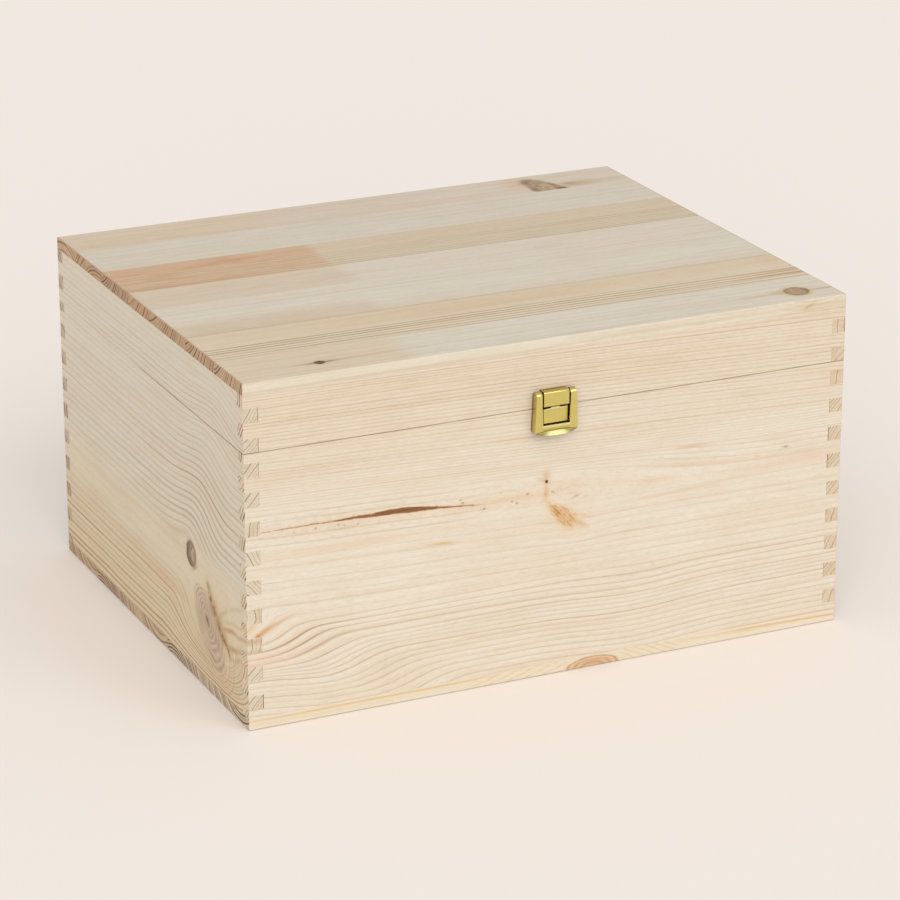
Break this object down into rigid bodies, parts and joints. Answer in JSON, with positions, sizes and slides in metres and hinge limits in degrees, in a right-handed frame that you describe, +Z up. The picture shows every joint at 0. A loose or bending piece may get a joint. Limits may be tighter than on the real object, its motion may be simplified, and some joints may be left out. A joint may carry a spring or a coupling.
{
  "type": "wooden storage box",
  "caption": "Low rectangular pine box with finger-jointed corners, a hinged lid and a small brass snap latch on the front.",
  "frame": {"origin": "centre of the underside", "axes": "+X along the width, to the right seen from the front; -Y is the front with the latch, +Y the back with the hinges; +Z up"},
  "size_m": [0.35, 0.2916, 0.19],
  "materials": {
    "pine_front": "sanded bare pine, creamy, fine brown grain lines along the board",
    "pine_side": "sanded bare pine with knots and wavy grain",
    "pine_top": "sanded bare pine, glued strips of pale tones",
    "pine_top_warm": "sanded bare pine, a warmer orange strip",
    "pine_bottom": "sanded bare pine, yellower at the front edge",
    "brass_latch": "brass-plated pressed sheet, satin with bright edges",
    "brass_hinge": "brass-plated pressed sheet, satin",
    "steel_pin": "brass-washed drawn wire"
  },
  "bodies": {
    "base": {"base_front_wall": "pine_front", "base_back_wall": "pine_front", "base_left_wall": "pine_side", "base_right_wall": "pine_side", "bottom_board_1": "pine_bottom", "bottom_board_2": "pine_bottom", "bottom_board_3": "pine_bottom", "bottom_board_4": "pine_bottom", "bottom_board_5": "pine_bottom", "left_hinge_base_leaf": "brass_hinge", "right_hinge_base_leaf": "brass_hinge", "left_hinge_pin": "steel_pin", "right_hinge_pin": "steel_pin", "base_hinge_screws": "brass_hinge", "latch_catch_plate": "brass_latch"},
    "lid": {"lid_front_wall": "pine_front", "lid_back_wall": "pine_front", "lid_left_wall": "pine_side", "lid_right_wall": "pine_side", "lid_board_1": "pine_top", "lid_board_2": "pine_top", "lid_board_3": "pine_top_warm", "lid_board_4": "pine_top", "lid_board_5": "pine_top", "lid_board_6": "pine_top", "lid_board_7": "pine_top", "left_hinge_lid_leaf": "brass_hinge", "right_hinge_lid_leaf": "brass_hinge", "lid_hinge_screws": "brass_hinge", "latch_lid_plate": "brass_latch", "latch_pin": "steel_pin"},
    "latch_frame": {"latch_frame": "brass_latch"}
  },
  "joints": [
    {"name": "lid_hinge", "type": "hinge", "parent": "base", "child": "lid", "pos_m": [0, 0.1424, 0.1525], "axis": [-1, 0, 0], "range_deg": [0, 180]},
    {"name": "latch_swing", "type": "hinge", "parent": "lid", "child": "latch_frame", "pos_m": [-0.0016, -0.1429, 0.16], "axis": [-1, 0, 0], "range_deg": [0, 165]}
  ]
}
